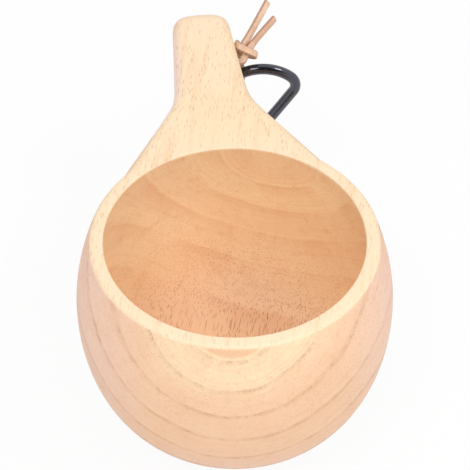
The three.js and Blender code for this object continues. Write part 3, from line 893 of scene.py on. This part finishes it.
# %% [markdown]
# ## Wood: coordinates along the grain
# The cup is cut from one block, so its grain runs through the whole body: rings about one axis, a
# little across the handle, and short dark pores along it. Where the surface lies along the grain the
# pores are long dashes, and where it cuts across, as on the front and the inner back wall, they are
# dots. A solid texture gives all of this by itself: a Mapping node lays the Object coordinates along
# the grain, and every later pattern is stretched along that direction.

# %% Grain coordinates
GRAIN_POINT = (0.00425, -0.003, 0.070)
GRAIN_TURN = (math.radians(-9.5), 0.0, math.radians(-15.3))

wood, tree, surface, coordinates = new_material("pale_wood")


def turned_mm(turn):
    """Millimetres in a frame turned like that about the grain's point."""
    turned_frame = node(
        tree, "ShaderNodeMapping", {"vector_type": "TEXTURE"},
        Vector=coordinates, Location=GRAIN_POINT, Rotation=turn,
    )
    return in_mm(tree, turned_frame.outputs[0])


grain_mm = turned_mm(GRAIN_TURN)
print("grain axis through", GRAIN_POINT)

# %% Patterns along the grain, and sums on masks


def stretched(across, along, vector=grain_mm):
    """Grain coordinates in cells of that size in millimetres."""
    made = node(
        tree, "ShaderNodeVectorMath", {"operation": "MULTIPLY"},
        i0=vector, i1=(1 / across, 1 / along, 1 / across),
    )
    return made.outputs[0]


def noise(vector, scale=1.0, detail=2.0, rough=0.5):
    """Plain noise, 0 to 1."""
    made = node(tree, "ShaderNodeTexNoise", Vector=vector, Scale=scale, Detail=detail, Roughness=rough)
    return made.outputs[0]


def opposite(value):
    """1 less a value."""
    return calc(tree, "SUBTRACT", 1.0, value)


def between(value, low, high):
    """How far a value has come from low to high, and never under 0."""
    come = calc(tree, "DIVIDE", calc(tree, "SUBTRACT", value, low), high - low)
    return calc(tree, "MAXIMUM", come, 0.0)


def greatest(first, *others):
    """The greatest of several values."""
    for other in others:
        first = calc(tree, "MAXIMUM", first, other)
    return first


def times(first, *others):
    """The product of several values."""
    for other in others:
        first = calc(tree, "MULTIPLY", first, other)
    return first


print("helpers for the grain and for masks")

# %% [markdown]
# ## Wood: zones of the cup
# The rim and the top of the handle are the palest, partly in the wood's own colour and partly as
# painted light from above, and the inside shows the strongest streaks and pores. Painted masks would
# do, but the cup's own measures are enough: the inside is what lies within the middle of the wall,
# and the top is what lies at the height of the rim.

# %% Zones
WALL_MIDDLE = BOWL_R - BELLY_WALL / 2
FLOOR_MIDDLE = FLOOR_WALL / 2
WALL_CHANGE = (1.005, 1.045)
TOP_CHANGE = (RIM_Z - 1.1, RIM_Z - 0.4)
HANDLE_CHANGE = (38.0, 50.0)

place_mm = in_mm(tree, coordinates)
place_x, place_y, place_z = node(tree, "ShaderNodeSeparateXYZ", Vector=place_mm).outputs[:3]
radius = across_axis(tree, place_mm, (1, 1, 0))
lift = between(place_z, BELLY_Z, RIM_Z)
depth = between(place_z, BELLY_Z, FLOOR_MIDDLE)
wide = calc(tree, "MULTIPLY_ADD", times(lift, lift), RIM_R - BOWL_R, WALL_MIDDLE)
across = calc(tree, "DIVIDE", radius, wide)
reach = calc(tree, "SQRT", calc(tree, "MULTIPLY_ADD", across, across, times(depth, depth)))
inside_wall = opposite(soft_step(tree, reach, *WALL_CHANGE))
top_zone = soft_step(tree, place_z, *TOP_CHANGE)
inside_zone = times(inside_wall, opposite(top_zone))
outside_zone = times(opposite(inside_wall), opposite(top_zone))
handle_zone = soft_step(tree, place_y, *HANDLE_CHANGE)
level_zone = calc(tree, "MAXIMUM", handle_zone, top_zone)
bowl_zone = opposite(level_zone)
print("zones: inside, outside, top, handle and bowl")

# %% [markdown]
# ## Wood: rings and pores
# The distance from the grain's axis gives the rings: a speckled line where one year ends, a soft tint
# that fades outwards, and finer lines between. The heart lies within the first ring, and the outer
# wood past the second one. Noise bends the rings and lets them come and go. Stretched Voronoi cells
# give the pores, one to a cell, and a random share of the cells stays empty.

# %% Rings
RING_FIRST = 15.0
RING_PITCH = 9.9
RING_SECOND = RING_FIRST + RING_PITCH
RING_SWAY = 3.5
TINT_START, TINT_FADE = 0.1, 1.8
LINE_TOP, LINE_END = 0.07, 0.24
HEART_CHANGE = (RING_FIRST - 1.5, RING_FIRST + 0.3)
OUTER_CHANGE = (RING_SECOND - 4.0, RING_SECOND + 9.0)


def partly(mask, least):
    """A mask that keeps at least that share everywhere."""
    return calc(tree, "MULTIPLY_ADD", mask, 1 - least, least)


from_axis = across_axis(tree, grain_mm, (1, 0, 1))
grain_along = node(tree, "ShaderNodeSeparateXYZ", Vector=grain_mm).outputs[1]
sway = calc(tree, "SUBTRACT", noise(stretched(24, 120)), 0.5)
ring_place = calc(tree, "MULTIPLY_ADD", sway, RING_SWAY, from_axis)
ring_count = calc(tree, "DIVIDE", calc(tree, "SUBTRACT", ring_place, RING_FIRST), RING_PITCH)
ring_share = calc(tree, "FRACT", ring_count)
tint_fades = calc(tree, "POWER", opposite(ring_share), TINT_FADE)
tint = times(soft_step(tree, ring_share, 0.0, TINT_START), tint_fades)
line_fades = opposite(soft_step(tree, ring_share, LINE_TOP, LINE_END))
line = times(soft_step(tree, ring_share, 0.0, LINE_TOP), line_fades)
come_and_go = soft_step(tree, noise(stretched(13, 60)), 0.34, 0.64)
broken = partly(soft_step(tree, noise(stretched(3.5, 30), detail=4.0), 0.38, 0.66), 0.25)
speckle = partly(soft_step(tree, noise(stretched(0.5, 3.0)), 0.42, 0.62), 0.35)
within_year = node(tree, "ShaderNodeCombineXYZ", X=ring_place, Y=times(grain_along, 0.03)).outputs[0]
fine_line = soft_step(tree, noise(within_year, scale=0.9, detail=3.0), 0.45, 0.75)
heart = opposite(soft_step(tree, ring_place, *HEART_CHANGE))
outer = soft_step(tree, ring_place, *OUTER_CHANGE)
print("rings every", RING_PITCH, "mm")

# %% Pores
PORE_TURN = (math.radians(11), 0.0, math.radians(-17))
LEVEL_TURN = (math.radians(3), 0.0, math.radians(-13))

bowl_mm, level_mm = turned_mm(PORE_TURN), turned_mm(LEVEL_TURN)


def pores(vector, across_mm, along_mm, size, cover):
    """Short dark dashes along the grain, in the share of cells that cover gives."""
    places = stretched(across_mm, along_mm, vector)
    cells = node(tree, "ShaderNodeTexVoronoi", {"feature": "F1"}, Vector=places, Scale=1.0)
    within = opposite(soft_step(tree, cells.outputs["Distance"], size * 0.55, size))
    chance = node(tree, "ShaderNodeSeparateColor", Color=cells.outputs["Color"]).outputs[0]
    return times(within, soft_step(tree, chance, 1 - cover, 1.02 - cover))


crowd = partly(soft_step(tree, noise(stretched(9, 45)), 0.35, 0.65), 0.55)
bowl_pores = times(pores(bowl_mm, across_mm=0.4, along_mm=7.5, size=0.37, cover=0.97), bowl_zone)
level_pores = times(pores(level_mm, across_mm=0.5, along_mm=4.5, size=0.34, cover=0.8), level_zone)
pore_mask = times(calc(tree, "ADD", bowl_pores, level_pores), crowd)
fibre = noise(stretched(0.4, 16, level_mm), detail=2.0)
streak = noise(stretched(2.4, 45, level_mm), detail=3.0)
print("pores, fibres and streaks")

# %% [markdown]
# ## Wood: colours
# Cream is the base, with peach in the heart and in the outer wood. A rose painted shade lies at the
# sides of the bowl, low on it, and on the handle's end and left flank, and painted light pales that
# flank again. The rim and the handle's top are paler, partly in the wood's own colour and partly as
# painted light. On the inside, the left of the floor is darker as painted shade, and the wall above
# it paler as painted light. Each layer is a place, a share and a colour, from the broad ones to the
# fine lines. The pores come last, over a tone for each zone: the outside's is a painted shade, and
# the inside and its floor have slight tints of their own.

# %% Colours and their places
CREAM = srgb(249, 221, 182)
PALE = srgb(249, 224, 191)
PEACH = srgb(243, 198, 162)
ROSE_SHADE = srgb(244, 208, 190)
BLUSH_LIGHT = srgb(255, 232, 218)
RING_TINT = srgb(226, 170, 126)
RING_LINE = srgb(176, 118, 80)
STREAK = srgb(233, 184, 138)
PORE = srgb(158, 82, 56)


def past(place, low, high):
    """Places beyond a soft edge, in millimetres."""
    return soft_step(tree, place, low, high)


def short_of(place, low, high):
    """Places before a soft edge, in millimetres."""
    return opposite(soft_step(tree, place, low, high))


bowl_outside = times(outside_zone, opposite(handle_zone))
# Rose painted shade: the sides of the bowl, its low part, the handle's end and its left flank.
side_shade = times(past(calc(tree, "ABSOLUTE", place_x), 24.0, 46.0), bowl_outside)
low_shade = times(short_of(place_z, 2.0, 26.0), outside_zone)
tip_shade = past(place_y, 88.0, 101.0)
# The handle's left flank takes the rose painted shade, and then a paler painted light over it.
flank = times(handle_zone, short_of(place_x, -11.0, -6.0))
root = times(past(place_y, 36.0, 46.0), short_of(place_y, 56.0, 72.0), top_zone)
# Inside, a painted shade on the left of the floor, and painted light on the wall above it.
left_floor_shade = times(short_of(place_z, 14.0, 30.0), short_of(place_x, -16.0, 6.0), inside_zone)
left_wall_light = times(past(place_z, 22.0, 42.0), short_of(place_x, -28.0, 8.0), inside_zone)
print("places: sides, low down, tip, flank, root, left floor and left wall")

# %% Layers of colour
mottle = soft_step(tree, noise(stretched(9, 30)), 0.3, 0.75)
warm_wood = times(greatest(outer, times(heart, 0.8)), bowl_zone, 0.75)
peachy = calc(tree, "MULTIPLY_ADD", mottle, 0.2, warm_wood)
colour = mix(tree, times(peachy, opposite(times(inside_zone, 0.5))), CREAM, PEACH)
LAYERS = (
    (greatest(side_shade, low_shade, tip_shade, flank), 0.8, ROSE_SHADE),
    (flank, 0.7, BLUSH_LIGHT),
    # The rim and the handle's top: partly the wood's own paler colour, partly painted light.
    (top_zone, 0.75, PALE),
    (root, 0.7, CREAM),
    (left_floor_shade, 0.28, RING_TINT),
    (left_wall_light, 0.8, PALE),
    (soft_step(tree, streak, 0.48, 0.8), 0.42, STREAK),
    (soft_step(tree, fibre, 0.5, 0.85), 0.22, STREAK),
    (times(fine_line, bowl_zone), 0.22, RING_TINT),
    (times(tint, come_and_go, bowl_zone), calc(tree, "MULTIPLY_ADD", inside_zone, 0.25, 0.27), RING_TINT),
    (times(heart, bowl_outside), 0.4, RING_TINT),
    (times(line, broken, speckle, bowl_outside), 0.5, RING_LINE),
)
for where, share, layer in LAYERS:
    colour = mix(tree, times(where, share), colour, layer)
print("layers of colour:", len(LAYERS))

# %% Tones and pores
# The outside's tone darkens the whole outside as a painted shade; the inside's and the floor's are slight
# tints.
OUTSIDE_SHADE_TONE = (0.92, 0.92, 0.925, 1.0)
INSIDE_TONE = (1.0, 1.02, 0.99, 1.0)
FLOOR_TONE = (1.0, 1.01, 1.1, 1.0)
PORE_SHARE = 0.28

tone = mix(tree, inside_zone, OUTSIDE_SHADE_TONE, INSIDE_TONE)
floor_zone = times(inside_zone, short_of(place_z, 11.0, 24.0))
tone = mix(tree, floor_zone, tone, mix(tree, 1.0, tone, FLOOR_TONE, "MULTIPLY"))
colour = mix(tree, 1.0, colour, tone, "MULTIPLY")
pore_share = PORE_SHARE
for where, more in (
    (inside_zone, 0.02),
    (times(inside_zone, short_of(place_z, 10.0, 34.0)), 0.32),
    (handle_zone, 0.08),
):
    pore_share = calc(tree, "MULTIPLY_ADD", where, more, pore_share)
colour = mix(tree, times(pore_mask, pore_share), colour, PORE)
tree.links.new(colour, surface.inputs["Base Color"])
print("wood colour of", len(tree.nodes), "nodes")

# %% Wood surface
PORE_ROUGHER = 0.2

wood_patch, wood_mark = add_uneven(tree, coordinates, patches=40.0, marks=900.0)
rough = calc(tree, "MULTIPLY_ADD", wood_patch, 0.16, 0.46)
set_roughness(tree, surface, pore_mask, least=rough, spread=PORE_ROUGHER)
height = calc(tree, "SUBTRACT", times(wood_mark, 0.25), pore_mask)
set_bump(tree, surface, height, strength=0.3, depth=0.1 * MM)
surface.inputs["Specular IOR Level"].default_value = 0.4
coat(cup, wood)
print("wood nodes:", len(tree.nodes))

# %% [markdown]
# ## Leather
# Undyed hide is pale and warm on its face, browner at the cut edges, and finely wrinkled across. The
# short tail is browner as a painted shade, and the wrinkles are darker in colour as a painted shade in
# their grooves. The strip's own UV map says how far along and how far round a point lies, so the
# edges and wrinkles stay on the strip through every turn of the knot.

# %% Leather
FACE = srgb(228, 196, 170)
WORN = srgb(216, 178, 150)
SHORT_TAIL_SHADE = srgb(206, 160, 134)
EDGE = srgb(168, 128, 104)
CREASE = srgb(156, 112, 84)
SHORT_TAIL_ENDS = (0.012, 0.017)
WRINKLES_ALONG, WRINKLES_ROUND = 1900.0, 5.0

leather, tree, surface, leather_coords = new_material("natural_leather")
strip_uv = node(tree, "ShaderNodeUVMap", {"uv_map": "along_and_round"}).outputs[0]
along, around = node(tree, "ShaderNodeSeparateXYZ", Vector=strip_uv).outputs[:2]
edge_wave = calc(tree, "ABSOLUTE", calc(tree, "COSINE", times(around, 2 * math.pi)))
edge = soft_step(tree, edge_wave, 0.6, 0.82)
hide_patch, hide_mark = add_uneven(tree, leather_coords, patches=260.0, marks=2600.0)
wrinkle_space = node(
    tree, "ShaderNodeCombineXYZ", X=times(along, WRINKLES_ALONG), Y=times(around, WRINKLES_ROUND)
).outputs[0]
crease = opposite(soft_step(tree, noise(wrinkle_space), 0.28, 0.42))
# The short tail's darker brown is a painted shade.
short_tail = opposite(soft_step(tree, along, *SHORT_TAIL_ENDS))
colour = mix(tree, soft_step(tree, hide_patch, 0.4, 0.65), FACE, WORN)
# The crease colour darkens the wrinkles' grooves as a painted shade; the edge colour is the hide's own.
for where, share, layer in ((short_tail, 0.6, SHORT_TAIL_SHADE), (edge, 0.75, EDGE), (crease, 0.4, CREASE)):
    colour = mix(tree, times(where, share), colour, layer)
tree.links.new(colour, surface.inputs["Base Color"])
set_roughness(tree, surface, hide_patch, least=0.6, spread=0.2)
height = calc(tree, "MULTIPLY_ADD", crease, -0.8, times(hide_mark, 0.5))
set_bump(tree, surface, height, strength=0.5, depth=0.12 * MM)
surface.inputs["Specular IOR Level"].default_value = 0.3
coat(thong, leather)
print("leather nodes:", len(tree.nodes))

# %% [markdown]
# ## Black coat and steel
# The carabiner has a smooth black coat, glossy and a little uneven, over its wire. The pins, the
# spring and the plunger are bare steel. Both take their gloss from the Principled shader, and the
# shared group only breaks it up.

# %% Black coat
black, tree, surface, black_coords = new_material("glossy_black")
coat_patch, coat_mark = add_uneven(tree, black_coords, patches=120.0, marks=1500.0)
colour = mix(tree, coat_patch, srgb(9, 10, 13), srgb(22, 23, 28))
tree.links.new(colour, surface.inputs["Base Color"])
set_roughness(tree, surface, coat_patch, least=0.07, spread=0.08)
set_bump(tree, surface, coat_mark, strength=0.12, depth=0.05 * MM)
surface.inputs["IOR"].default_value = 1.6
surface.inputs["Specular IOR Level"].default_value = 0.9
surface.inputs["Specular Tint"].default_value = (0.83, 0.84, 1.0, 1.0)
print("black coat nodes:", len(tree.nodes))

# %% Steel
steel, tree, surface, steel_coords = new_material("bright_steel")
steel_patch = add_uneven(tree, steel_coords, patches=300.0, marks=4000.0)[0]
colour = mix(tree, steel_patch, srgb(176, 178, 181), srgb(204, 205, 206))
tree.links.new(colour, surface.inputs["Base Color"])
set_roughness(tree, surface, steel_patch, least=0.22, spread=0.2)
surface.inputs["Metallic"].default_value = 1.0

for obj in (wire, gate):
    coat(obj, black)
for obj in (hinge_rivet, latch_pin, frame["nodes"]["gate_spring"], frame["nodes"]["gate_plunger"]):
    coat(obj, steel)
print("finishes:", ", ".join(m.name for m in (wood, leather, black, steel)))

# %% [markdown]
# ## Floor, light and background
# The cup stands on white paper in soft light from all round. Two softboxes hang above it, on the
# left and on the right, where the round wire mirrors each as a narrow light. A weak fill from the
# front, which gloss doesn't show, opens the shade on the bowl. The studio is darker towards the
# camera's side, so that the black coat has something dark to mirror. The floor is seen as nearly
# white by the camera and by glossy surfaces, through the Light Path node, while it still catches a
# soft shadow, and it lights the cup from below as real paper does.

# %% Floor
FLOOR_SIZE = 8
FLOOR_GREY = (0.8, 0.8, 0.8, 1)
FLOOR_GLOW = 0.92
WHITE = (1, 1, 1, 1)

floor = primitive("floor", bpy.ops.mesh.primitive_plane_add, size=FLOOR_SIZE)


def seen_directly(tree):
    """1 for rays from the camera, and for those that glossy or clear surfaces send out."""
    path = tree.nodes.new("ShaderNodeLightPath")
    first = calc(tree, "MAXIMUM", path.outputs["Is Camera Ray"], path.outputs["Is Glossy Ray"])
    return calc(tree, "MAXIMUM", first, path.outputs["Is Transmission Ray"])


paper = bpy.data.materials.new("white_paper")
paper.use_nodes = True
tree = paper.node_tree
tree.nodes.remove(tree.nodes["Principled BSDF"])
matt = node(tree, "ShaderNodeBsdfDiffuse", Color=FLOOR_GREY)
glow = node(tree, "ShaderNodeEmission", Color=WHITE, Strength=1.0)
whiteness = calc(tree, "MULTIPLY", seen_directly(tree), FLOOR_GLOW)
blend = node(tree, "ShaderNodeMixShader", i0=whiteness, i1=matt.outputs[0], i2=glow.outputs[0])
tree.links.new(blend.outputs[0], tree.nodes["Material Output"].inputs["Surface"])
floor.data.materials.append(paper)
print("floor:", FLOOR_SIZE, "m wide")

# %% Studio
SKY_LEVEL = 0.76
ROOM_LEVEL = 0.06
ROOM_CHANGE = (0.62, 0.9)

world = bpy.data.worlds.new("studio")
bpy.context.scene.world = world
world.use_nodes = True
tree = world.node_tree
sky_point = tree.nodes.new("ShaderNodeTexCoord").outputs["Generated"]
behind = vector_value(tree, "DOT_PRODUCT", sky_point, look_back)
room = calc(tree, "MULTIPLY_ADD", soft_step(tree, behind, *ROOM_CHANGE), ROOM_LEVEL - 1.0, 1.0)
darker = calc(tree, "SUBTRACT", room, SKY_LEVEL)
sky_strength = calc(tree, "MULTIPLY_ADD", seen_directly(tree), darker, SKY_LEVEL)
tree.links.new(sky_strength, tree.nodes["Background"].inputs["Strength"])
tree.nodes["Background"].inputs["Color"].default_value = WHITE
print("studio nodes:", len(tree.nodes))

# %% Lamps
LAMP_TARGET = Vector((0, 0.02, 0.05))


def softbox(name, place, size, watts):
    """A lamp of that width and height that faces the cup."""
    data = bpy.data.lights.new(name, "AREA")
    data.shape = "RECTANGLE"
    data.size, data.size_y = size
    data.energy = watts
    lamp = bpy.data.objects.new(name, data)
    lamp.location = place
    lamp.rotation_mode = "QUATERNION"
    lamp.rotation_quaternion = (LAMP_TARGET - lamp.location).to_track_quat("-Z", "Y")
    bpy.context.scene.collection.objects.link(lamp)
    return lamp


left_box = softbox("left_box", place=(-0.36, -0.42, 1.0), size=(0.38, 0.24), watts=2.5)
right_box = softbox("right_box", place=(0.62, -0.16, 0.94), size=(0.32, 0.26), watts=2.7)
front_fill = softbox("front_fill", place=(0.05, -1.0, 0.66), size=(0.9, 0.5), watts=3.3)
front_fill.visible_glossy = False
bpy.context.scene.view_settings.view_transform = "Standard"
print("lamps:", ", ".join(lamp.name for lamp in (left_box, right_box, front_fill)))
